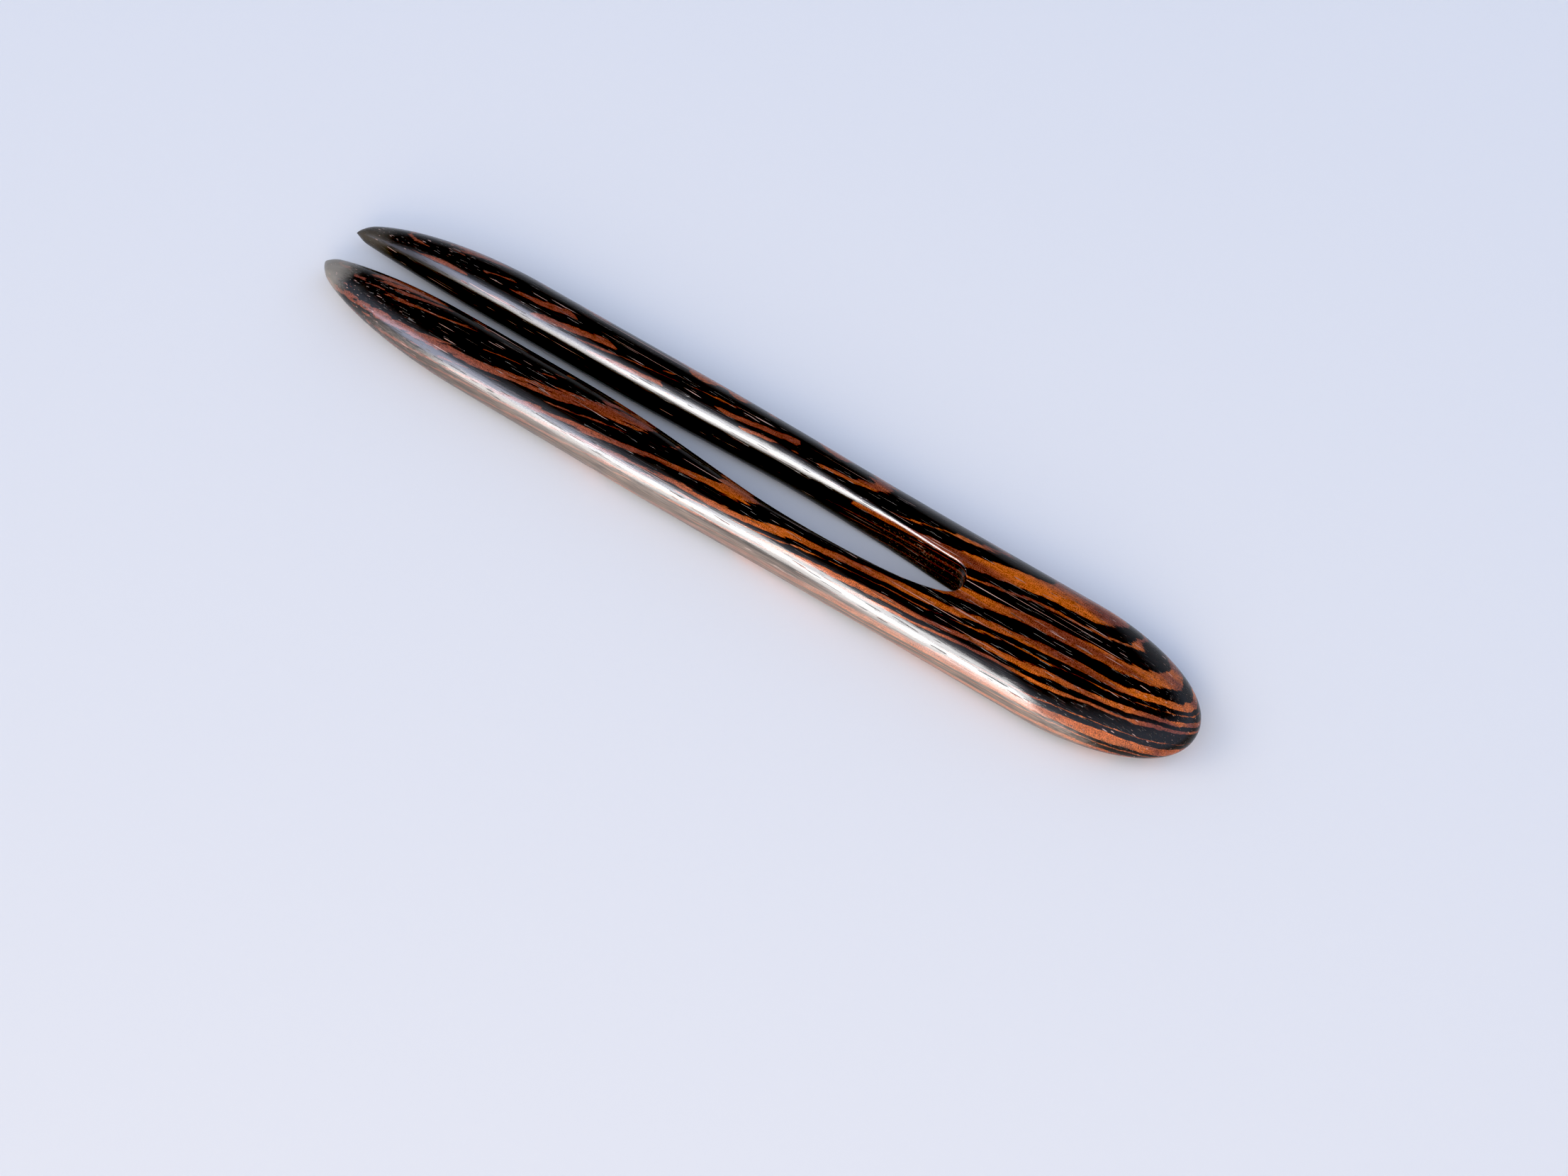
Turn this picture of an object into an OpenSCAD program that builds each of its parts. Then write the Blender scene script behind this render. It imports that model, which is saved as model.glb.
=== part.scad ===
// Two-tined hair fork, carved from one flat board of hardwood and shown in three regions:
// the head and two springy tines. Each tine turns a little about an upright axis at the slot's root.
// +X runs from the points to the head and +Z is up. The origin is on the surface that the fork rests
// on, under the middle of its length and width. Places along the fork are measured from the points.

/* [Body] */
// Length from the points to the end of the head
fork_len = 150; // [145:1:170]
// Thickness of the head and of the tines away from their points
thickness = 7.8; // [6.5:0.1:9]
// Width over both tines where they are widest
tine_span = 21.8; // [20.5:0.1:25]
// Width of the waist, just before the slot ends
waist_w = 20.8; // [19.5:0.1:23]
// Width of the head
head_w = 20.6; // [19.5:0.1:25]
// Length of the rounded end of the head
head_end_len = 21; // [16:0.5:26]

/* [Points] */
// Distance between the middles of the two points
tip_pitch = 7.2; // [6.6:0.1:8]
// Length over which a tine draws in to its point
tip_len = 31.5; // [26:0.5:38]
// Width of the blunt end of a point
tip_w = 0.9; // [0.7:0.1:1.4]
// Thickness of the blunt end of a point
tip_t = 1.4; // [1.2:0.1:2.4]
// How far the middle of a point's thickness lies below the middle of the board
tip_drop = 0.9; // [0:0.1:1.2]

/* [Slot] */
// Length of the slot
slot_len = 112.5; // [110:0.5:116]
// Width of the slot where it is narrowest
slot_narrow_w = 2.7; // [2.4:0.1:3.4]
// Width of the slot where it is widest
slot_wide_w = 6.9; // [6:0.1:7.6]
// Width of the slot at its root, before the corners
slot_root_w = 6; // [5:0.1:7]
// How far the slot lies off the middle near the points, towards +Y
slot_shift = 1.1; // [0:0.1:1.2]
// Length of the rounded corner of the root on the -Y side
near_corner = 11; // [2:0.5:12]
// Length of the rounded corner of the root on the +Y side
far_corner = 3; // [2:0.5:12]

/* [Edges] */
// Width of the rounding along the outer edges
outer_round = 5.6; // [4.5:0.1:6]
// Width of the rounding along the slot, on the tines
inner_round = 4.5; // [3:0.1:4.8]
// Width of the rounding along the slot, at its root
root_round = 0.8; // [0.5:0.1:1.5]
// Depth taken off the underside, which leaves the flat that the fork rests on
rest_flat = 0.15; // [0.1:0.05:0.3]

/* [Flex joints] */
// Radius of the round joint faces between the head and the tines
joint_r = 8; // [7.5:0.5:9]
// Distance from the root of the slot to a joint's axis, into the head
joint_back = 1.5; // [1:0.5:2]
// Gap between a tine and the head
joint_gap = 0.05; // [0.02:0.01:0.1]

/* [Hidden] */

wood = [0.26, 0.12, 0.07];
near = -1;                   // the tine on the -Y side
far = 1;                     // the tine on the +Y side

// Where the outline changes, measured from the points
span_until = 62;             // the outer edges start to draw in to the waist
waist_at = 96;
head_from = 124;             // the head has its full width
narrow_until = 48;           // the slot starts to widen
wide_at = 97;                // the slot is widest, and starts to draw in to its root
shift_until = 49;            // the slot starts to come back to the middle
middle_from = 96;
flare_len = 25;              // the slot flares open to the points over this length
taper_len = 14;              // the head thins over this length at its end
sharpen_from = 78;           // the rounding along the slot starts to get narrower
sharp_from = 110;

// Curves
edge_power = 2.15;           // of a section's corners: 2 is an ellipse, more is squarer
end_power = 2.1;             // of the head's rounded end
corner_power = 2.3;          // of the slot's root
point_power = 0.65;          // of the outer edge where it draws in to a point
flare_power = 0.75;          // of the slot where it flares open
end_reach = 0.998;           // how much of its rounded end the outline takes: 1 ends in a point
taper_reach = 0.96;          // how much of its rounding the thickness takes at the end

// Rings that the skins are drawn over
ring_points = 28;
tip_rings = 12;
tine_rings = 20;
head_rings = 8;
end_rings = 12;
root_steps = 14;

// Joints: each axis is level with the middle of its tine
joint_x = slot_len + joint_back;
joint_y = (waist_w + slot_root_w) / 4;
joint_face = joint_x - joint_r;
tine_end = joint_face + 1.6;
head_start = joint_face - 0.6;
beyond = 3 * thickness;      // enough to cut right through

function smooth(t) = let(u = min(1, max(0, t))) u * u * (3 - 2 * u);
function ease(a, b, from, to, x) = a + (b - a) * smooth((x - from) / (to - from));
function quarter(t, p) = pow(1 - pow(min(1, max(0, t)), p), 1 / p);
function draw_in(x, len, p) = x < len ? pow(1 - pow(1 - x / len, 2), p) : 1;

// Half of the outer width at x
function body_half(x) =
    x < waist_at ? ease(tine_span, waist_w, span_until, waist_at, x) / 2
                 : ease(waist_w, head_w, waist_at, head_from, x) / 2;
function head_half(x) =
    body_half(x) * quarter(end_reach * (x - fork_len + head_end_len) / head_end_len, end_power);
function tine_outer(x) =
    let(point = (tip_pitch + tip_w) / 2)
    point + (body_half(x) - point) * draw_in(x, tip_len, point_power);

// Distance from the middle to the slot's edge, on one side
function slot_half(x, side) =
    (x < wide_at ? ease(slot_narrow_w, slot_wide_w, narrow_until, wide_at, x)
                 : ease(slot_wide_w, slot_root_w, wide_at, slot_len, x)) / 2
    + side * ease(slot_shift, 0, shift_until, middle_from, x);
function slot_edge(x, side) =
    let(point = (tip_pitch - tip_w) / 2, corner = side == near ? near_corner : far_corner)
    (point + (slot_half(x, side) - point) * draw_in(x, flare_len, flare_power))
    * quarter((x - slot_len + corner) / corner, corner_power);

// Thickness before the flat is cut, and the height of the middle of the thickness
full_t = thickness + rest_flat;
mid_z = (thickness - rest_flat) / 2;
function tine_thick(x) = tip_t + (full_t - tip_t) * draw_in(x, tip_len, flare_power);
function tine_mid(x) = mid_z - tip_drop * (1 - draw_in(x, tip_len, flare_power));
function head_thick(x) =
    full_t * quarter(taper_reach * (x - fork_len + taper_len) / taper_len, 2);

// A section's corner at the angle a: how far in from the side it is, and its height
function inset(a, w) = w * (1 - pow(abs(cos(a)), 2 / edge_power));
function height(a, t, mid) = max(0, mid + sign(sin(a)) * t / 2 * pow(abs(sin(a)), 2 / edge_power));

// Angles go round the section from its +Y side, with half of the points on each side
angles = [for (i = [0:ring_points - 1]) 360 * (i + 0.5) / ring_points];

function head_ring(x) =
    let(w = head_half(x), r = min(outer_round, w), t = head_thick(x))
    [for (a = angles) [x - fork_len / 2, sign(cos(a)) * (w - inset(a, r)), height(a, t, mid_z)]];

function tine_ring(x, side) =
    let(
        w = tine_outer(x),
        g = slot_edge(x, side),
        inner = ease(inner_round, root_round, sharpen_from, sharp_from, x),
        fit = min(1, (w - g) / (outer_round + inner)))
    [for (a = angles)
        let(y = side * cos(a) > 0 ? w - inset(a, outer_round * fit) : g + inset(a, inner * fit))
        [x - fork_len / 2, side * y, height(a, tine_thick(x), tine_mid(x))]];

// Rings stand closer together towards a point and towards the end of the head
tine_places = concat(
    [for (i = [0:tip_rings - 1]) tip_len * pow(i / tip_rings, 2)],
    [for (i = [0:tine_rings]) tip_len + (tine_end - tip_len) * i / tine_rings]);
head_places = concat(
    [for (i = [0:head_rings - 1])
        head_start + (fork_len - head_end_len - head_start) * i / head_rings],
    [for (i = [0:end_rings]) fork_len - head_end_len * (1 - sin(90 * i / end_rings))]);

// Skin over a row of rings, closed by a flat face at each end
module skin(rings) {
    n = len(rings[0]);
    last = len(rings) - 1;
    quads = [for (r = [0:last - 1], i = [0:n - 1])
        [r * n + i, r * n + (i + 1) % n, (r + 1) * n + (i + 1) % n, (r + 1) * n + i]];
    ends = [[for (i = [n - 1:-1:0]) i], [for (i = [0:n - 1]) last * n + i]];
    polyhedron(points = [for (r = rings) each r], faces = concat(quads, ends), convexity = 4);
}

module at_joint(side) {
    translate([joint_x - fork_len / 2, side * joint_y, -beyond / 2]) children();
}

// Everything on one side of the middle that belongs to the tine and not to the head
module tine_side(side) {
    difference() {
        translate([head_start - 1 - fork_len / 2, side > 0 ? 0 : -beyond, -beyond / 2])
            cube([joint_x - head_start + 1, beyond, beyond]);
        at_joint(side) cylinder(r = joint_r, h = beyond, $fn = 96);
    }
}

module slot_root() {
    steps = [for (i = [0:root_steps]) 1 - pow(1 - i / root_steps, 2)];
    xs = [for (t = steps) head_start - 1 + (slot_len - head_start + 1) * t];
    edge = concat(
        [for (x = xs) [x - fork_len / 2, -slot_edge(x, near)]],
        [for (i = [root_steps - 1:-1:0]) [xs[i] - fork_len / 2, slot_edge(xs[i], far)]]);
    translate([0, 0, -beyond / 2]) linear_extrude(beyond) polygon(edge);
}

module head() {
    color(wood) difference() {
        skin([for (x = head_places) head_ring(x)]);
        slot_root();
        tine_side(near);
        tine_side(far);
    }
}

module tine(side) {
    color(wood) difference() {
        skin([for (x = tine_places) tine_ring(x, side)]);
        at_joint(side) cylinder(r = joint_r + joint_gap, h = beyond, $fn = 96);
    }
}

module near_tine() {
    tine(near);
}

module far_tine() {
    tine(far);
}

head();
near_tine();
far_tine();
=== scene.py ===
"""Two-tined wenge hair fork: three pieces of one carved body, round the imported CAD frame.

Places along the fork are in millimetres from the points, as in the CAD source. Places in the wood are in
millimetres from the middle of the fork, and meshes are in metres.
"""

import math

import bpy
import numpy as np
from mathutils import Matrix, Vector


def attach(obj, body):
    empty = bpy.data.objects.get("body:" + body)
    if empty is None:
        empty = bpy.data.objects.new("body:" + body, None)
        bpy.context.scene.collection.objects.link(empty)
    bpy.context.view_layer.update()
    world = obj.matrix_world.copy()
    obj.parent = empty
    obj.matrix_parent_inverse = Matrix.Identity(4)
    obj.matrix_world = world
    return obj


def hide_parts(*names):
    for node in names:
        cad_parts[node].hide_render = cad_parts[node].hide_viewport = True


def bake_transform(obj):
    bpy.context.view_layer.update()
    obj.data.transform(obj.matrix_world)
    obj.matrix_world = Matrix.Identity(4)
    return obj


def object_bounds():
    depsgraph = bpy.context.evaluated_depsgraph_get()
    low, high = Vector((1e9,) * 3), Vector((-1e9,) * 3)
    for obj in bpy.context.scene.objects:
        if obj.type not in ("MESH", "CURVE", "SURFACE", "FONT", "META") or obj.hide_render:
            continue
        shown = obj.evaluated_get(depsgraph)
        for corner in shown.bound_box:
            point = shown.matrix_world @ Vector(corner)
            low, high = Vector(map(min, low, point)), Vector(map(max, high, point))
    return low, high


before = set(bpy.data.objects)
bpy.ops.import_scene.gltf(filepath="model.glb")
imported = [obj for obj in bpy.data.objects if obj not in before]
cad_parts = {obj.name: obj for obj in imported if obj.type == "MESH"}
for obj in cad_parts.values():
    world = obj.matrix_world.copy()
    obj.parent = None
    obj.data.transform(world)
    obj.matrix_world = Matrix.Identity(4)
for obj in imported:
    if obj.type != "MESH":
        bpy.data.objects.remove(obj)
cad_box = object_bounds()

MM = 0.001

# Body, slot and edges, as the CAD source gives them
FORK_LEN = 150.0
THICKNESS = 7.8
TINE_SPAN, WAIST_W, HEAD_W = 21.8, 20.8, 20.6
SPAN_UNTIL, WAIST_AT, HEAD_FROM = 62.0, 96.0, 124.0
HEAD_END_LEN, END_POWER = 21.0, 2.1
TIP_PITCH, TIP_W, TIP_T, TIP_DROP = 7.2, 0.9, 1.4, 0.9
TIP_LEN, FLARE_LEN = 31.5, 25.0
POINT_POWER, FLARE_POWER = 0.65, 0.75
SLOT_LEN = 112.5
SLOT_NARROW_W, SLOT_WIDE_W, SLOT_ROOT_W = 2.7, 6.9, 6.0
NARROW_UNTIL, WIDE_AT = 48.0, 97.0
SLOT_SHIFT, SHIFT_UNTIL, MIDDLE_FROM = 1.1, 49.0, 96.0
NEAR, FAR = -1, 1
CORNER_LEN = {NEAR: 11.0, FAR: 3.0}
CORNER_POWER = 2.3
OUTER_ROUND, INNER_ROUND, ROOT_ROUND = 5.6, 4.5, 0.8
SHARPEN_FROM, SHARP_FROM = 78.0, 110.0
EDGE_POWER = 2.15
REST_FLAT = 0.15

# What the carving adds to the CAD shape
END_FROM = FORK_LEN - HEAD_END_LEN    # where the side rounding starts to grow into the fall of the end
END_ROUND = 15.0          # length of the head's fall to its end, over the top
SIDE_BLEND = 0.03         # share of the height over which the end's rounding meets that of the sides
ROOT_POWER = 4.2          # how square the slot's edge is at its root
TIP_CAP = 2.4             # length of the rounded end of a point
TIP_CAP_LEAST = 0.12      # size of the flat left on it, as a share of the section
MIN_FLAT = 0.06           # share of a section between its two roundings
MIN_SQUARE = 0.3          # least cosine between a section and an edge's normal that widths are corrected by

# Mesh density
SIDE_STEPS = 20           # round each corner, from the middle of the edge to the top
FLAT_STEPS = 14
TIP_RINGS = 46
TIP_CROWDING = 1.8        # 1 spreads a point's rings evenly, more puts them closer to its end
TINE_RINGS = 120
FAN_RINGS = 110
FAN_FROM = 98.0           # sections are straight across up to here, and fan round the root after it
FAN_TURN = 1 / 6          # share of the fan over which its sections turn to leave the edges squarely
FAN_SPARE = 0.3           # share of the root's edge that is spaced evenly, so that no ring gets too close
NORMAL_REACH = 0.004      # share of an edge's length over which its direction is taken
PLAN_STEPS = 4000         # of the fine line that an edge is measured on
SEAM = 106.0              # where a tine piece meets the head piece

# Growth layers: where the pale wood lies in one cycle, in millimetres of height, and how pale it is there
LAYER_CYCLE = 9.0
LAYERS = (
    (0.35, 0.0), (0.90, 0.80), (1.22, 0.10), (1.70, 0.92), (2.25, 0.12), (2.70, 0.60), (2.92, 0.08),
    (3.35, 1.00), (4.10, 0.03), (4.85, 1.00), (5.60, 0.00), (6.08, 0.66), (6.35, 0.10), (6.80, 0.90),
    (7.50, 0.90), (7.95, 0.00), (8.40, 0.60), (8.65, 0.05))
LAYER_RISE = 0.48         # how fast the layers climb across the fork
LAYER_TILT = -0.075       # how fast they climb along it, at its middle
LAYER_CURL = 0.00025      # half of how much that changes with each millimetre towards the head
PALE_FROM, PALE_AT = 0.50, 0.60

# Grain that wanders: how long, wide and deep a lump is in millimetres, and how far it goes from 0
LAYER_WANDER = (((38, 9, 9), 0.9), ((11, 2.4, 2.4), 0.3), ((2.2, 0.35, 0.35), 0.1))
FLAMES = (((16, 0.7, 0.7), 0.20), ((7, 0.16, 0.16), 0.10))
STRIPES = ((22, 0.55, 0.55), 0.85)
STRIPE_SLANT = -0.15      # how far the near tine's stripes slant off its length
MOTTLE = ((0.8, 0.32, 0.32), 0.45)
RIPPLE_PITCH = 0.28       # distance between the ripple marks, which stand across the grain
RIPPLE_WANDER = ((0.9, 0.3, 0.3), 9.0)
# How far the edge of the grey painted sheen on the points wanders
POINT_SHEEN_WANDER = ((3, 1.2, 1.2), 0.35)
FIBRE = (3.5, 0.14, 0.14)

# Patches: the size of a lump, and the levels of its noise that a patch starts at and is full at
HEART = ((15, 3.6, 3.6), 0.49, 0.54)
PORES = ((5.5, 0.20, 0.20), 0.66, 0.72)
MINERAL_GROUPS = ((14, 1.6, 1.6), 0.58, 0.66)
MINERAL_SEAMS = ((26, 0.20, 0.20), 0.79, 0.82)
# Bright flecks of painted glint on the slot's wall near its root
GLINT_FLECKS = ((0.32, 0.24, 0.24), 0.60, 0.68)
WARMTH = ((30, 2.5, 2.5), 0.35, 0.62)
RIPPLE_ROWS = ((4, 1.0, 1.0), 0.35, 0.6, 0.08, 0.28)
FLECKS = ((0.13, 0.13, 0.13), 0.35, 0.65, 0.56, 1.14)
FIBRE_LEVELS, BLACK_FIBRE_LEVELS = (0.3, 0.7), (0.55, 0.75)

# Zones: each goes from its first place to its second, and from 0 to 1 or between the shares that follow
WALL_FAR_Y, WALL_NEAR_Y, WALL_TOP_Z, WALL_ROOT_X = (5.2, 3.6), (-0.4, 0.6), (6.9, 5.7), (40.0, 37.0)
# Painted shade: the slot's far wall is painted black, most where the slot is narrow, towards the points
WALL_SHADE_X = (26, -4, 0.22, 0.8)
# Painted glints on the slot's wall, growing towards its root
WALL_GLINTS_X = (12, 36, 0.0, 0.8)
NEAR_Y, STRIPES_X = (2, 0), (20, -15)
NEAR_DARK_X = (10, -15, 0.0, 0.16)
HEART_Y, HEART_X = (2.0, 4.0), (30, 0)
WARM_X = (-45, 25, 0.15, 1.0)
MINERAL_X = (62, 50)
# The outer sides get a dull coat and a pale painted sheen, the reflection of the low lamps, most on the near
# side
SHEEN_FILM_Y, SHEEN_FILM_TOP_Z, SHEEN_FILM_FOOT_Z = (8.4, 10.0), (6.0, 4.8), (1.5, 3.5, 0.15, 1.0)
SHEEN_FILM_NEAR_Y, SHEEN_FILM_X = (-1, 1, 1.0, 0.35), (-60, -15, 0.35, 1.0)
# The points get a grey painted sheen, the reflection of the bright room, and a duller finish, most on the
# near point
POINT_SHEEN_X, POINT_SHEEN_MOST_X, POINT_SHEEN_NEAR_Y = (-66.5, -71.5), (-63.0, -69.0, 0.0, 0.62), (0, 1, 1.0, 0.25)

# Colours
BLACK_WOOD, BLACK_FIBRE = (0.0045, 0.0022, 0.0022, 1), (0.030, 0.010, 0.008, 1)
RED_WOOD, ORANGE_WOOD = (0.20, 0.050, 0.032, 1), (0.58, 0.135, 0.030, 1)
DARK_PORE, MINERAL = (0.012, 0.006, 0.005, 1), (0.62, 0.38, 0.31, 1)
# Painted light: bright painted glints on the slot's wall, a pale painted sheen on the outer sides and a grey
# painted sheen on the points
PAINTED_GLINT, PAINTED_SIDE_SHEEN, POINT_SHEEN = (0.26, 0.16, 0.13, 1), (0.60, 0.42, 0.30, 1), (0.38, 0.34, 0.28, 1)
PAPER = (0.85, 0.85, 0.85, 1)
FIBRE_TONE = 0.16         # how far the fibres take the pale wood's brightness up and down
SIDE_SHEEN_SHARE = (0.16, 0.44)             # how much of the pale painted sheen shows on the sides, from fibre to fibre
PORE_SHARE, MINERAL_SHARE = 0.6, 0.85
WALL_SHADE_COOL, WALL_SHADE = 0.9, 0.25     # painted shade: how much less orange and how much darker the slot's wall is painted

# Relief in millimetres
PORE_DEPTH = 0.03
FIBRE_RELIEF = (FIBRE, 0.0035)
HAND_RELIEF = ((9, 1.5, 1.5), 0.014)
RIPPLE_RELIEF = ((0.27, 0.5, 0.5), 0.0012)

# Finish
GLOSS, FILM_DULL, POINT_SHEEN_DULL, PORE_DULL = 0.19, 0.26, 0.3, 0.25        # roughness, and what adds to it
FIBRE_DULL = 0.04         # how far the fibres take it up and down
SPECULAR, WALL_MATT = 0.5, 0.35
IOR = 1.5
SHEEN, FILM_SHEEN = 0.08, 0.9         # weight of the dull coat, all over and on the sides that carry the painted sheen
SHEEN_ROUGHNESS = 0.48

# Lamps: azimuth, elevation, distance, size, radiance, colour, and which rays see it
LAMPS = {
    "day": (50, 38, 2.2, (1.30, 1.10), 0.70, (1.0, 0.78, 0.44), "diffuse"),
    "bounce": (-28, 24, 0.7, (0.45, 0.35), 1.50, (1.0, 0.72, 0.32), "diffuse"),
    "lower pane": (20, 27, 2.4, (0.68, 0.62), 42.0, (1.0, 0.98, 0.96), "gloss"),
    "upper pane": (20, 45, 2.4, (0.68, 0.66), 20.0, (1.0, 0.98, 0.96), "gloss"),
    "sill": (20, 10, 2.4, (1.20, 0.75), 17.0, (1.0, 0.94, 0.90), "gloss"),
    "sky": (42, 30, 2.4, (1.00, 1.20), 7.0, (0.72, 0.76, 1.0), "gloss"),
}
LAMP_SPREAD = math.radians(110)       # keeps the floor next to a lamp from being lit up
ROOM_LOW, ROOM_HIGH = (0.60, 0.66, 0.80, 1), (0.91, 1.07, 1.44, 1)
ROOM_LEVELS = (0.15, 0.55)            # heights on a unit sphere between which the room gets brighter
GLOOM_WAY = (-0.334, 0.462, 0.821)    # the dark part of the room, which the fork's top mirrors
GLOOM = (0.55, 0.98, 0.0, 0.85)       # cosines to that way at its rim and its middle, and how dark they are
BLACK = (0.0, 0.0, 0.0, 1)
BLACK_LEVEL = (0.022, 0.024, 0.032)   # scene light that shows as black

# Camera
CAMERA_ELEVATION, CAMERA_AZIMUTH = math.radians(55.2), math.radians(35.9)
CAMERA_DISTANCE = 0.3556
CAMERA_AIM = Vector((0.0153, -0.0100, 0.0))
SENSOR_W, LENS = 36.0, 58.6
CLIP_START, CLIP_END = 0.01, 50.0

FLOOR_HALF = 4.0
PAPER_ROUGHNESS, PAPER_SPECULAR = 0.9, 0.1


def smooth(t):
    u = np.clip(t, 0, 1)
    return u * u * (3 - 2 * u)


def ease(a, b, start, stop, x):
    return a + (b - a) * smooth((x - start) / (stop - start))


def quarter(t, power):
    return (1 - np.clip(t, 0, 1) ** power) ** (1 / power)


def draw_in(x, length, power):
    return np.where(x < length, (1 - (1 - np.minimum(x, length) / length) ** 2) ** power, 1.0)


def body_half(x):
    waist = ease(TINE_SPAN, WAIST_W, SPAN_UNTIL, WAIST_AT, x)
    head = ease(WAIST_W, HEAD_W, WAIST_AT, HEAD_FROM, x)
    return np.where(x < WAIST_AT, waist, head) / 2


def outer_half(x):
    point = (TIP_PITCH + TIP_W) / 2
    tine = point + (body_half(x) - point) * draw_in(x, TIP_LEN, POINT_POWER)
    return tine * quarter((x - FORK_LEN + HEAD_END_LEN) / HEAD_END_LEN, END_POWER)


def slot_half(x, side):
    widen = ease(SLOT_NARROW_W, SLOT_WIDE_W, NARROW_UNTIL, WIDE_AT, x)
    close = ease(SLOT_WIDE_W, SLOT_ROOT_W, WIDE_AT, SLOT_LEN, x)
    straight = np.where(x < WIDE_AT, widen, close) / 2
    straight = straight + side * ease(SLOT_SHIFT, 0, SHIFT_UNTIL, MIDDLE_FROM, x)
    point = (TIP_PITCH - TIP_W) / 2
    flared = point + (straight - point) * draw_in(x, FLARE_LEN, FLARE_POWER)
    round_len = CORNER_LEN[side]
    return flared * quarter((x - SLOT_LEN + round_len) / round_len, CORNER_POWER)


def plan_line(half, end, round_len):
    """Points of an edge in plan from FAN_FROM to its end on the middle line, closest in the round part."""
    straight = np.linspace(FAN_FROM, end - round_len, PLAN_STEPS, endpoint=False)
    turn = end - round_len * (1 - np.sin(np.linspace(0, math.pi / 2, PLAN_STEPS)))
    x = np.concatenate([straight, turn])
    return np.stack([x, half(x)], 1)


def along(line, shares):
    """Points at shares of a line's length, the unit normals there, to the line's right, and the length."""
    steps = np.linalg.norm(np.diff(line, axis=0), axis=1)
    place = np.concatenate([[0], np.cumsum(steps)])
    at = np.asarray(shares) * place[-1]
    points = np.stack([np.interp(at, place, line[:, k]) for k in (0, 1)], 1)
    reach = NORMAL_REACH * place[-1]
    ahead = np.stack([np.interp(at + reach, place, line[:, k]) for k in (0, 1)], 1)
    behind = np.stack([np.interp(at - reach, place, line[:, k]) for k in (0, 1)], 1)
    run = ahead - behind
    run /= np.linalg.norm(run, axis=1)[:, None]
    return points, np.stack([run[:, 1], -run[:, 0]], 1), place[-1]


def tine_stations():
    """Where the straight sections stand, closest together at the point."""
    near_point = TIP_LEN * (np.arange(TIP_RINGS) / TIP_RINGS) ** TIP_CROWDING
    return np.concatenate([near_point, np.linspace(TIP_LEN, FAN_FROM, TINE_RINGS)])


def half_sections(side):
    """Sections from a point to the middle of the head: each one's two ends in plan, and directions there."""
    x = tine_stations()
    zero = np.zeros_like(x)
    inner = np.stack([x, slot_half(x, side)], 1)
    outer = np.stack([x, outer_half(x)], 1)
    across = np.stack([zero, zero + 1], 1)

    inner_line = plan_line(lambda t: slot_half(t, side), SLOT_LEN, CORNER_LEN[side])
    outer_line = plan_line(outer_half, FORK_LEN, HEAD_END_LEN)
    t = np.arange(1, FAN_RINGS + 1) / FAN_RINGS
    fan_outer, outer_normal, outer_len = along(outer_line, t)
    power = (outer_len / along(inner_line, t)[2] - FAN_SPARE) / (1 - FAN_SPARE)
    inner_t = (1 - FAN_SPARE) * (1 - (1 - t) ** power) + FAN_SPARE * t
    fan_inner, inner_normal, _ = along(inner_line, inner_t)
    turn = smooth(t / FAN_TURN)[:, None]
    leave = turn * -inner_normal + (1 - turn) * np.array([0, 1])
    arrive = turn * -outer_normal + (1 - turn) * np.array([0, 1])

    # The last section runs along the middle line
    leave[-1] = arrive[-1] = (1, 0)
    fan_inner[-1] = (SLOT_LEN, 0)
    fan_outer[-1] = (FORK_LEN, 0)
    leave /= np.linalg.norm(leave, axis=1)[:, None]
    arrive /= np.linalg.norm(arrive, axis=1)[:, None]
    pairs = (inner, fan_inner), (outer, fan_outer), (across, leave), (across, arrive)
    return [np.concatenate(pair) * (1, side) for pair in pairs]


def corner(width, power):
    """A section's corner from the edge's middle to the top: distance in from the edge, and height up to 1."""
    a = np.linspace(0, math.pi / 2, SIDE_STEPS + 1)
    return width * (1 - np.cos(a) ** (2 / power)), np.sin(a) ** (2 / power)


def under_sides(h, plan, outer_x):
    """Heights in a section that ends on the head's rounded end, kept below the rounding of the long sides."""
    sides = quarter(1 - (outer_half(plan[:, 0]) - np.abs(plan[:, 1])) / OUTER_ROUND, EDGE_POWER)
    meet = np.maximum(SIDE_BLEND - np.abs(h - sides), 0)
    lower = np.minimum(h, sides) - meet ** 2 / (4 * SIDE_BLEND)
    return h + smooth((outer_x - HEAD_FROM) / (END_FROM - HEAD_FROM)) * (lower - h)


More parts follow.
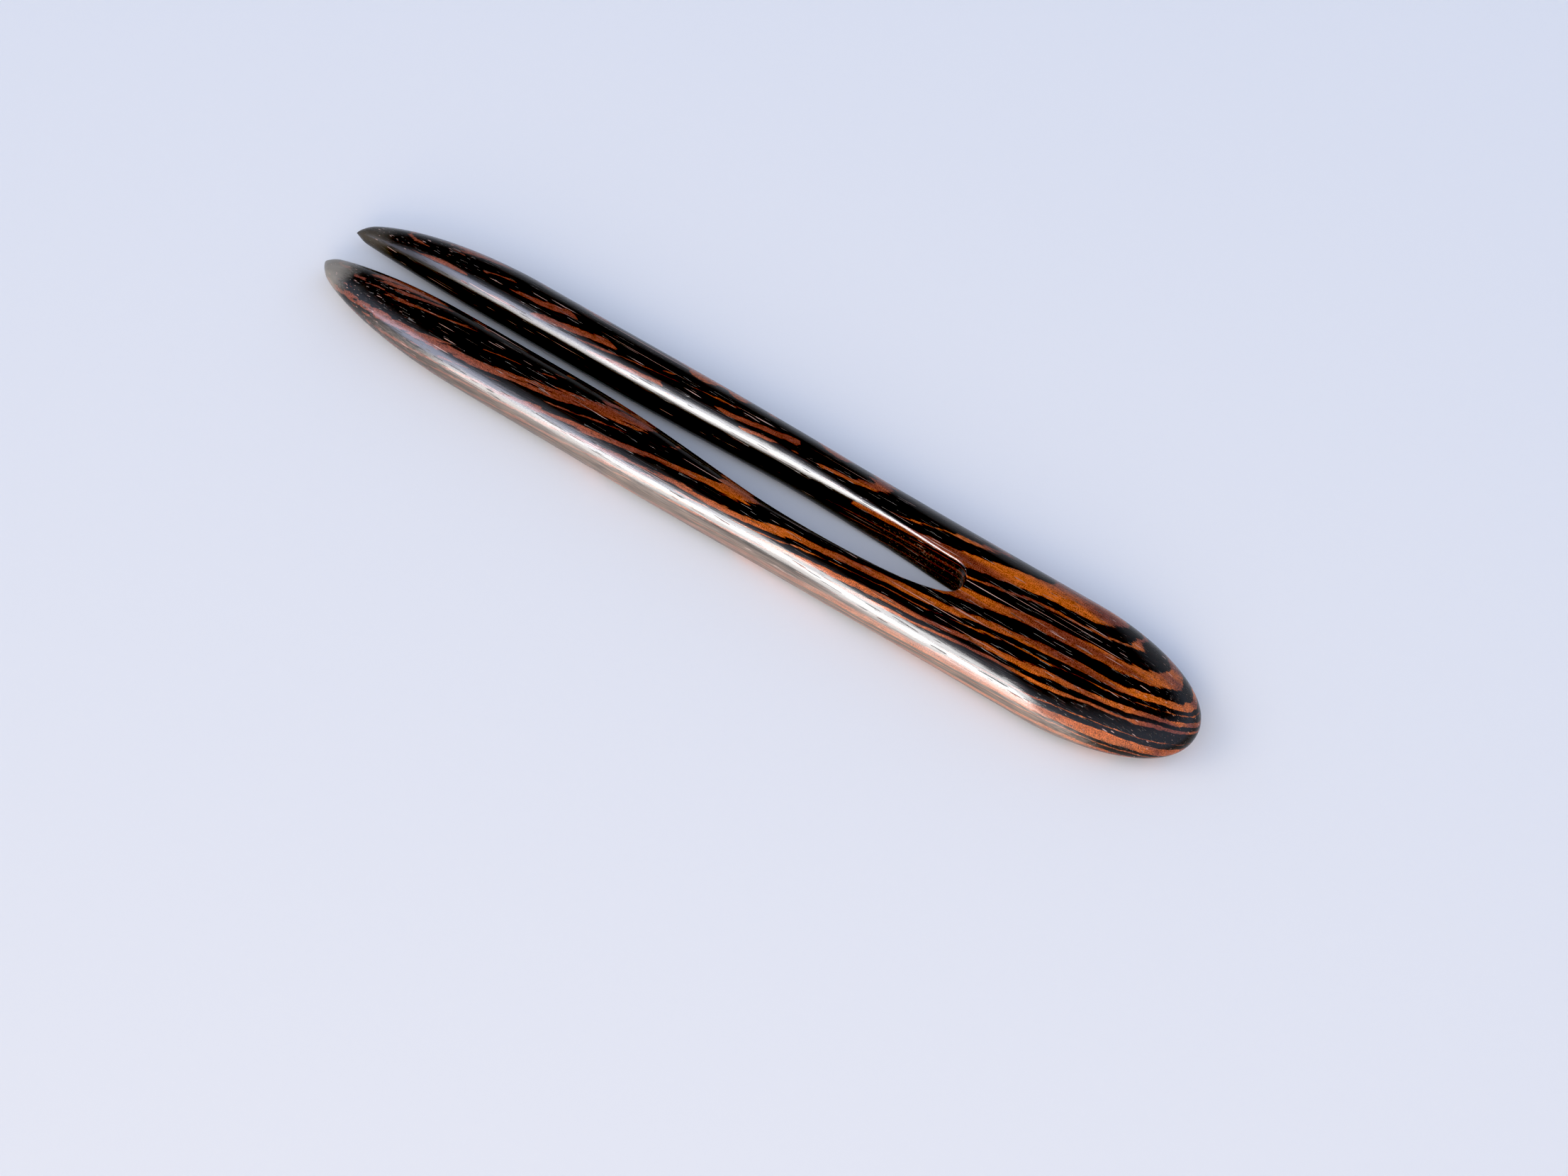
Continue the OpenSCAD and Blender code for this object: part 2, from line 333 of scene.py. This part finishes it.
def section(inner, outer, leave, arrive):
    """The closed loop of points of one section: from the outer edge over the top to the slot, and back."""
    span = np.linalg.norm(outer - inner)
    run = (outer - inner) / span
    x = inner[0]
    out_w = ease(OUTER_ROUND, END_ROUND, END_FROM, FORK_LEN, outer[0]) / max(MIN_SQUARE, run @ arrive)
    in_w = ease(INNER_ROUND, ROOT_ROUND, SHARPEN_FROM, SHARP_FROM, x) / max(MIN_SQUARE, run @ leave)
    fit = min(1, span * (1 - MIN_FLAT) / (out_w + in_w))
    in_power = ease(EDGE_POWER, ROOT_POWER, SHARPEN_FROM, SHARP_FROM, x)
    d_out, h_out = corner(out_w * fit, EDGE_POWER)
    d_in, h_in = corner(in_w * fit, in_power)
    flat = np.linspace(out_w * fit, span - in_w * fit, FLAT_STEPS + 1)[1:-1]
    d = np.concatenate([d_out, flat, span - d_in[::-1]])
    h = np.concatenate([h_out, np.ones(len(flat)), h_in[::-1]])

    plan = outer - d[:, None] * run
    h = under_sides(h, plan, outer[0])
    full = THICKNESS + REST_FLAT
    fill = draw_in(x, TIP_LEN, FLARE_POWER)
    thick = TIP_T + (full - TIP_T) * fill
    mid = (THICKNESS - REST_FLAT) / 2 - TIP_DROP * (1 - fill)
    cap = max(quarter((TIP_CAP - x) / TIP_CAP, 2), TIP_CAP_LEAST)
    centre = (inner + outer) / 2
    plan = centre + (plan - centre) * cap
    top = np.column_stack([plan, mid + thick / 2 * h * cap])
    bottom = np.column_stack([plan, mid - thick / 2 * h * cap])[-2:0:-1]
    loop = np.concatenate([top, bottom])
    loop[:, 2] = np.maximum(loop[:, 2], 0)
    return loop


def fit_to_cad(loops):
    """The loops drawn in by some hundredths of a millimetre, to the box of the faceted CAD."""
    low, high = (np.array(point) / MM for point in cad_box)
    own_low, own_high = loops.min((0, 1)), loops.max((0, 1))
    return low + (loops - own_low) * (high - low) / (own_high - own_low)


def whole_body():
    """Every section of the fork in order: up the near tine, round the head and down the far tine."""
    near = half_sections(NEAR)
    far = half_sections(FAR)
    rows = [np.concatenate([a, b[-2::-1]]) for a, b in zip(near, far)]
    loops = np.array([section(*row) for row in zip(*rows)])
    loops[:, :, 0] -= FORK_LEN / 2
    return fit_to_cad(loops)


def skin_faces(rings, count):
    r, i = np.meshgrid(np.arange(rings - 1), np.arange(count), indexing="ij")
    j = (i + 1) % count
    quads = np.stack([r * count + i, (r + 1) * count + i, (r + 1) * count + j, r * count + j], -1)
    return quads.reshape(-1, 4).tolist()


def cap_faces(first, count, flip):
    """Faces that close a section, between the points of its top and the ones below them."""
    faces = []
    for i in range(count // 2):
        a, b = first + i, first + i + 1
        c, d = first + count - i - 1, first + (count - i) % count
        face = list(dict.fromkeys((a, b, c, d)))
        faces.append(face[::-1] if flip else face)
    return faces


def vertex_normals(loops):
    """Smooth normals of the whole skin, from the differences along and round it."""
    run = np.gradient(loops, axis=0)
    turn = np.roll(loops, -1, 1) - np.roll(loops, 1, 1)
    n = np.cross(run, turn)
    return n / np.linalg.norm(n, axis=2)[..., None]


def make_piece(name, loops, normals):
    rings, count = loops.shape[:2]
    faces = skin_faces(rings, count)
    skin_count = len(faces)
    faces += cap_faces(0, count, False) + cap_faces((rings - 1) * count, count, True)
    mesh = bpy.data.meshes.new(name)
    points = loops.reshape(-1, 3)
    mesh.from_pydata(points * MM, [], faces)
    rest = mesh.attributes.new("rest_mm", "FLOAT_VECTOR", "POINT")
    rest.data.foreach_set("vector", points.astype(np.float32).ravel())
    mesh.polygons.foreach_set("use_smooth", [i < skin_count for i in range(len(faces))])
    mesh.update()
    flat = normals.reshape(-1, 3)
    split = []
    for polygon in mesh.polygons:
        in_skin = polygon.index < skin_count
        split += [flat[v] if in_skin else polygon.normal for v in polygon.vertices]
    mesh.normals_split_custom_set(split)
    piece = bpy.data.objects.new(name, mesh)
    bpy.context.scene.collection.objects.link(piece)
    return piece


class Nodes:
    """Short forms for building a node tree."""

    def __init__(self, tree):
        self.tree = tree
        tree.nodes.clear()

    def add(self, kind, inputs=(), **settings):
        made = self.tree.nodes.new(kind)
        for key, value in settings.items():
            setattr(made, key, value)
        for key, value in dict(inputs).items():
            self.set(made.inputs[key], value)
        return made

    def set(self, socket, value):
        if isinstance(value, bpy.types.NodeSocket):
            self.tree.links.new(value, socket)
        else:
            socket.default_value = value

    def math(self, operation, a, b=0.0, c=0.0):
        made = self.add("ShaderNodeMath", operation=operation)
        for socket, value in zip(made.inputs, (a, b, c)):
            self.set(socket, value)
        return made.outputs[0]

    def total(self, first, *others):
        for other in others:
            first = self.math("ADD", first, other)
        return first

    def product(self, first, *others):
        for other in others:
            first = self.math("MULTIPLY", first, other)
        return first

    def linear(self, value, slope, start):
        return self.math("MULTIPLY_ADD", value, slope, start)

    def noise(self, vector, size, detail=2.0):
        """Noise from about 0 to 1 whose lumps have the given size in millimetres on each axis."""
        per_mm = [1 / s for s in size]
        scaled = self.add("ShaderNodeVectorMath", {0: vector, 1: per_mm}, operation="MULTIPLY")
        made = self.add("ShaderNodeTexNoise", {"Vector": scaled.outputs[0], "Scale": 1.0, "Detail": detail})
        return made.outputs["Fac"]

    def wander(self, vector, size, reach, detail=2.0):
        """Noise that wanders by reach to either side of 0."""
        return self.product(self.math("SUBTRACT", self.noise(vector, size, detail), 0.5), 2 * reach)

    def patches(self, vector, size, start, stop, low=0.0, high=1.0, detail=1.0):
        return self.step(self.noise(vector, size, detail), start, stop, low, high)

    def step(self, value, start, stop, low=0.0, high=1.0):
        """Goes smoothly from low to high as the value goes from start to stop."""
        made = self.add("ShaderNodeMapRange", {
            "Value": value, "From Min": start, "From Max": stop, "To Min": low, "To Max": high},
            interpolation_type="SMOOTHSTEP")
        return made.outputs["Result"]

    def mix(self, share, a, b, blend="MIX"):
        made = self.add("ShaderNodeMix", data_type="RGBA", blend_type=blend)
        self.set(made.inputs["Factor"], share)
        self.set(made.inputs["A"], a)
        self.set(made.inputs["B"], b)
        return made.outputs["Result"]


def layer_ramp(n, cycle):
    """How pale the growth layers are at a place in their cycle."""
    ramp = n.add("ShaderNodeValToRGB", {"Fac": cycle})
    stops = ramp.color_ramp.elements
    while len(stops) < len(LAYERS):
        stops.new(0.5)
    for stop, (at, pale) in zip(stops, LAYERS):
        stop.position = at / LAYER_CYCLE
        stop.color = (pale, pale, pale, 1)
    return ramp.outputs["Color"]


def pale_wood(n, place, x, y, z, wall):
    """1 in the pale bands and 0 in the dark ones. The bands climb across the fork and wander."""
    layer = n.linear(y, LAYER_RISE, z)
    layer = n.total(layer, n.product(x, n.linear(x, LAYER_CURL, LAYER_TILT)))
    layer = n.total(layer, *(n.wander(place, *lumps) for lumps in LAYER_WANDER))
    layers = layer_ramp(n, n.math("FRACT", n.math("DIVIDE", layer, LAYER_CYCLE)))

    # Flames blur the bands' edges, and slanted stripes run down the near tine, which is darker
    near_side = n.step(y, *NEAR_Y)
    flame = n.total(*(n.wander(place, *lumps) for lumps in FLAMES))
    slanted = n.add("ShaderNodeCombineXYZ", {"X": x, "Y": n.linear(x, STRIPE_SLANT, y), "Z": z})
    stripe = n.wander(slanted.outputs["Vector"], *STRIPES)
    stripe = n.product(stripe, n.product(n.step(x, *STRIPES_X), near_side))
    pale = n.total(layers, n.total(flame, stripe))

    # Painted shade makes the slot's far wall black, and patches of the far tine are black wood
    heart = n.product(n.patches(place, *HEART), n.product(n.step(y, *HEART_Y), n.step(x, *HEART_X)))
    painted_wall_shade = n.product(wall, n.step(x, *WALL_SHADE_X))
    near_dark = n.product(n.step(x, *NEAR_DARK_X), near_side)
    for dark in (painted_wall_shade, heart, near_dark):
        pale = n.math("SUBTRACT", pale, dark)
    return n.step(pale, PALE_FROM, PALE_AT)


def pale_colour(n, place, x, wall, fibre):
    """Red-brown towards the points and orange towards the head, with flecks, fibres and ripple marks, and
    painted shade that makes the slot's wall darker and less orange.
    """
    warm = n.product(
        n.patches(place, *WARMTH, detail=2.0), n.step(x, *WARM_X), n.linear(wall, -WALL_SHADE_COOL, 1.0))
    brown = n.mix(warm, RED_WOOD, ORANGE_WOOD)
    march = n.linear(x, 2 * math.pi / RIPPLE_PITCH, n.wander(place, *RIPPLE_WANDER, detail=1.0))
    ripple = n.product(n.math("SINE", march), n.patches(place, *RIPPLE_ROWS))
    dapple = n.total(
        n.patches(place, *FLECKS), n.step(fibre, *FIBRE_LEVELS, -FIBRE_TONE, FIBRE_TONE), ripple,
        n.wander(place, *MOTTLE, detail=1.0))
    return n.mix(1.0, brown, n.product(dapple, n.linear(wall, -WALL_SHADE, 1.0)), "MULTIPLY")


def mineral_pores(n, place, x, pore):
    """Pores filled with a pale mineral, in groups, and a few long seams of it."""
    groups = n.patches(place, *MINERAL_GROUPS)
    filled = n.product(pore, groups, n.step(n.math("ABSOLUTE", x), *MINERAL_X))
    return n.math("MAXIMUM", filled, n.patches(place, *MINERAL_SEAMS, detail=0.0))


def slot_wall(n, x, y, z):
    """1 on the far wall of the slot."""
    return n.product(
        n.step(y, *WALL_FAR_Y), n.step(y, *WALL_NEAR_Y), n.step(z, *WALL_TOP_Z), n.step(x, *WALL_ROOT_X))


def dull_film_and_sheen(n, x, y, z):
    """1 where the outer sides get a dull coat and a pale painted sheen: most on the near side, towards the
    head.
    """
    film_and_sheen = n.product(n.step(z, *SHEEN_FILM_TOP_Z), n.step(z, *SHEEN_FILM_FOOT_Z))
    film_and_sheen = n.product(n.step(n.math("ABSOLUTE", y), *SHEEN_FILM_Y), film_and_sheen)
    return n.product(film_and_sheen, n.step(y, *SHEEN_FILM_NEAR_Y), n.step(x, *SHEEN_FILM_X))


def dull_sheen_points(n, place, x, y):
    """1 where the points get a grey painted sheen and a duller finish: most on the near one."""
    point_sheen = n.total(n.step(x, *POINT_SHEEN_X), n.wander(place, *POINT_SHEEN_WANDER))
    point_sheen = n.product(point_sheen, n.step(x, *POINT_SHEEN_MOST_X))
    point_sheen.node.use_clamp = True
    return n.product(point_sheen, n.step(y, *POINT_SHEEN_NEAR_Y))


def wenge():
    """Flat-sawn wenge under a gloss oil: dark and pale layers, fibres, open pores and ripple marks, with
    painted shade on the slot's wall and painted sheen and glints.
    """
    material = bpy.data.materials.new("wenge")
    material.use_nodes = True
    n = Nodes(material.node_tree)
    place = n.add("ShaderNodeAttribute", attribute_name="rest_mm").outputs["Vector"]
    apart = n.add("ShaderNodeSeparateXYZ", {"Vector": place})
    x, y, z = (apart.outputs[k] for k in "XYZ")
    wall = slot_wall(n, x, y, z)
    film_and_sheen = dull_film_and_sheen(n, x, y, z)
    point_sheen = dull_sheen_points(n, place, x, y)
    fibre = n.noise(place, FIBRE)
    pore = n.patches(place, *PORES)

    dark = n.mix(n.step(fibre, *BLACK_FIBRE_LEVELS), BLACK_WOOD, BLACK_FIBRE)
    colour = n.mix(pale_wood(n, place, x, y, z, wall), dark, pale_colour(n, place, x, wall, fibre))
    colour = n.mix(n.product(pore, PORE_SHARE), colour, DARK_PORE)
    colour = n.mix(n.product(mineral_pores(n, place, x, pore), MINERAL_SHARE), colour, MINERAL)
    # Painted glints on the slot's wall near its root
    colour = n.mix(n.product(n.patches(place, *GLINT_FLECKS), wall, n.step(x, *WALL_GLINTS_X)), colour, PAINTED_GLINT)
    # Pale painted sheen on the outer sides
    colour = n.mix(n.product(film_and_sheen, n.step(fibre, *FIBRE_LEVELS, *SIDE_SHEEN_SHARE)), colour, PAINTED_SIDE_SHEEN)
    # Grey painted sheen on the points
    colour = n.mix(point_sheen, colour, POINT_SHEEN)

    height = n.total(
        n.product(pore, -PORE_DEPTH), n.wander(place, *FIBRE_RELIEF),
        n.wander(place, *HAND_RELIEF, detail=1.0), n.wander(place, *RIPPLE_RELIEF, detail=1.0))
    normal = n.add("ShaderNodeBump", {"Height": height, "Distance": MM, "Strength": 1.0}).outputs["Normal"]

    rough = n.step(pore, 0, 1, 0.0, PORE_DULL)
    rough = n.total(rough, n.step(fibre, *FIBRE_LEVELS, -FIBRE_DULL, FIBRE_DULL))
    rough = n.total(rough, n.linear(film_and_sheen, FILM_DULL, GLOSS), n.product(point_sheen, POINT_SHEEN_DULL))
    principled = n.add("ShaderNodeBsdfPrincipled", {
        "Base Color": colour, "Roughness": rough, "IOR": IOR, "Normal": normal,
        "Specular IOR Level": n.linear(wall, -WALL_MATT, SPECULAR),
        "Coat Weight": n.linear(film_and_sheen, FILM_SHEEN, SHEEN),
        "Coat Roughness": SHEEN_ROUGHNESS, "Coat Normal": normal})
    n.add("ShaderNodeOutputMaterial", {"Surface": principled.outputs[0]})
    return material


def build_fork():
    loops = whole_body()
    normals = vertex_normals(loops)
    station = loops[:, 0, 0] + FORK_LEN / 2
    near_seam = int(np.searchsorted(station[:len(loops) // 2], SEAM))
    far_seam = len(loops) - 1 - near_seam
    parts = {
        "near_tine": slice(0, near_seam + 1),
        "head": slice(near_seam, far_seam + 1),
        "far_tine": slice(far_seam, len(loops)),
    }
    wood = wenge()
    for node, part in parts.items():
        piece = make_piece(node + "_wood", loops[part], normals[part])
        piece.data.materials.append(wood)
        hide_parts(node)
        if node == "head":
            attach(piece, "head")
        else:
            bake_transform(piece)


def make_floor():
    mesh = bpy.data.meshes.new("floor")
    corners = [(x * FLOOR_HALF, y * FLOOR_HALF, 0) for x, y in ((-1, -1), (1, -1), (1, 1), (-1, 1))]
    mesh.from_pydata(corners, [], [(0, 1, 2, 3)])
    floor = bpy.data.objects.new("floor", mesh)
    bpy.context.scene.collection.objects.link(floor)
    material = bpy.data.materials.new("paper")
    material.use_nodes = True
    n = Nodes(material.node_tree)
    principled = n.add("ShaderNodeBsdfPrincipled", {
        "Base Color": PAPER, "Roughness": PAPER_ROUGHNESS, "Specular IOR Level": PAPER_SPECULAR})
    n.add("ShaderNodeOutputMaterial", {"Surface": principled.outputs[0]})
    mesh.materials.append(material)


def area_light(name, azimuth, elevation, distance, size, radiance, colour, seen_by):
    """A soft box that faces the fork. Azimuth 0 is on the near side, and 90 is past the points."""
    a, e = math.radians(azimuth), math.radians(elevation)
    back = Vector((-math.cos(e) * math.sin(a), -math.cos(e) * math.cos(a), math.sin(e)))
    data = bpy.data.lights.new(name, "AREA")
    data.shape = "RECTANGLE"
    data.size, data.size_y = size
    data.energy = radiance * math.pi * size[0] * size[1]
    data.color = colour
    light = bpy.data.objects.new(name, data)
    light.location = back * distance
    light.rotation_mode = "QUATERNION"
    light.rotation_quaternion = back.to_track_quat("Z", "Y")
    if seen_by == "diffuse":
        data.spread = LAMP_SPREAD
    light.visible_camera = False
    light.visible_diffuse = seen_by == "diffuse"
    light.visible_glossy = seen_by == "gloss"
    bpy.context.scene.collection.objects.link(light)


def make_room():
    """A bluish room, brighter overhead, with one dark part."""
    world = bpy.data.worlds.new("studio")
    bpy.context.scene.world = world
    world.use_nodes = True
    n = Nodes(world.node_tree)
    way = n.add("ShaderNodeTexCoord").outputs["Generated"]
    facing = n.add("ShaderNodeVectorMath", {0: way, 1: GLOOM_WAY}, operation="DOT_PRODUCT")
    gloom = n.step(facing.outputs["Value"], *GLOOM)
    level = n.add("ShaderNodeSeparateXYZ", {"Vector": way}).outputs["Z"]
    room = n.mix(n.step(level, *ROOM_LEVELS), ROOM_LOW, ROOM_HIGH)
    room = n.mix(gloom, room, BLACK)
    background = n.add("ShaderNodeBackground", {"Color": room, "Strength": 1.0})
    n.add("ShaderNodeOutputWorld", {"Surface": background.outputs[0]})


def make_look():
    look = bpy.context.scene.view_settings
    look.view_transform = "Standard"
    look.use_curve_mapping = True
    look.curve_mapping.black_level = BLACK_LEVEL
    look.curve_mapping.update()


def make_camera():
    """Looks down on the fork from its near right side."""
    e, a = CAMERA_ELEVATION, CAMERA_AZIMUTH
    back = Vector((math.cos(e) * math.sin(a), -math.cos(e) * math.cos(a), math.sin(e)))
    data = bpy.data.cameras.new("camera")
    data.sensor_width = SENSOR_W
    data.lens = LENS
    data.clip_start, data.clip_end = CLIP_START, CLIP_END
    camera = bpy.data.objects.new("camera", data)
    camera.location = CAMERA_AIM + back * CAMERA_DISTANCE
    camera.rotation_mode = "QUATERNION"
    camera.rotation_quaternion = (-back).to_track_quat("-Z", "Y")
    bpy.context.scene.collection.objects.link(camera)
    bpy.context.scene.camera = camera


build_fork()
make_floor()
for lamp, settings in LAMPS.items():
    area_light(lamp, *settings)
make_room()
make_look()
make_camera()
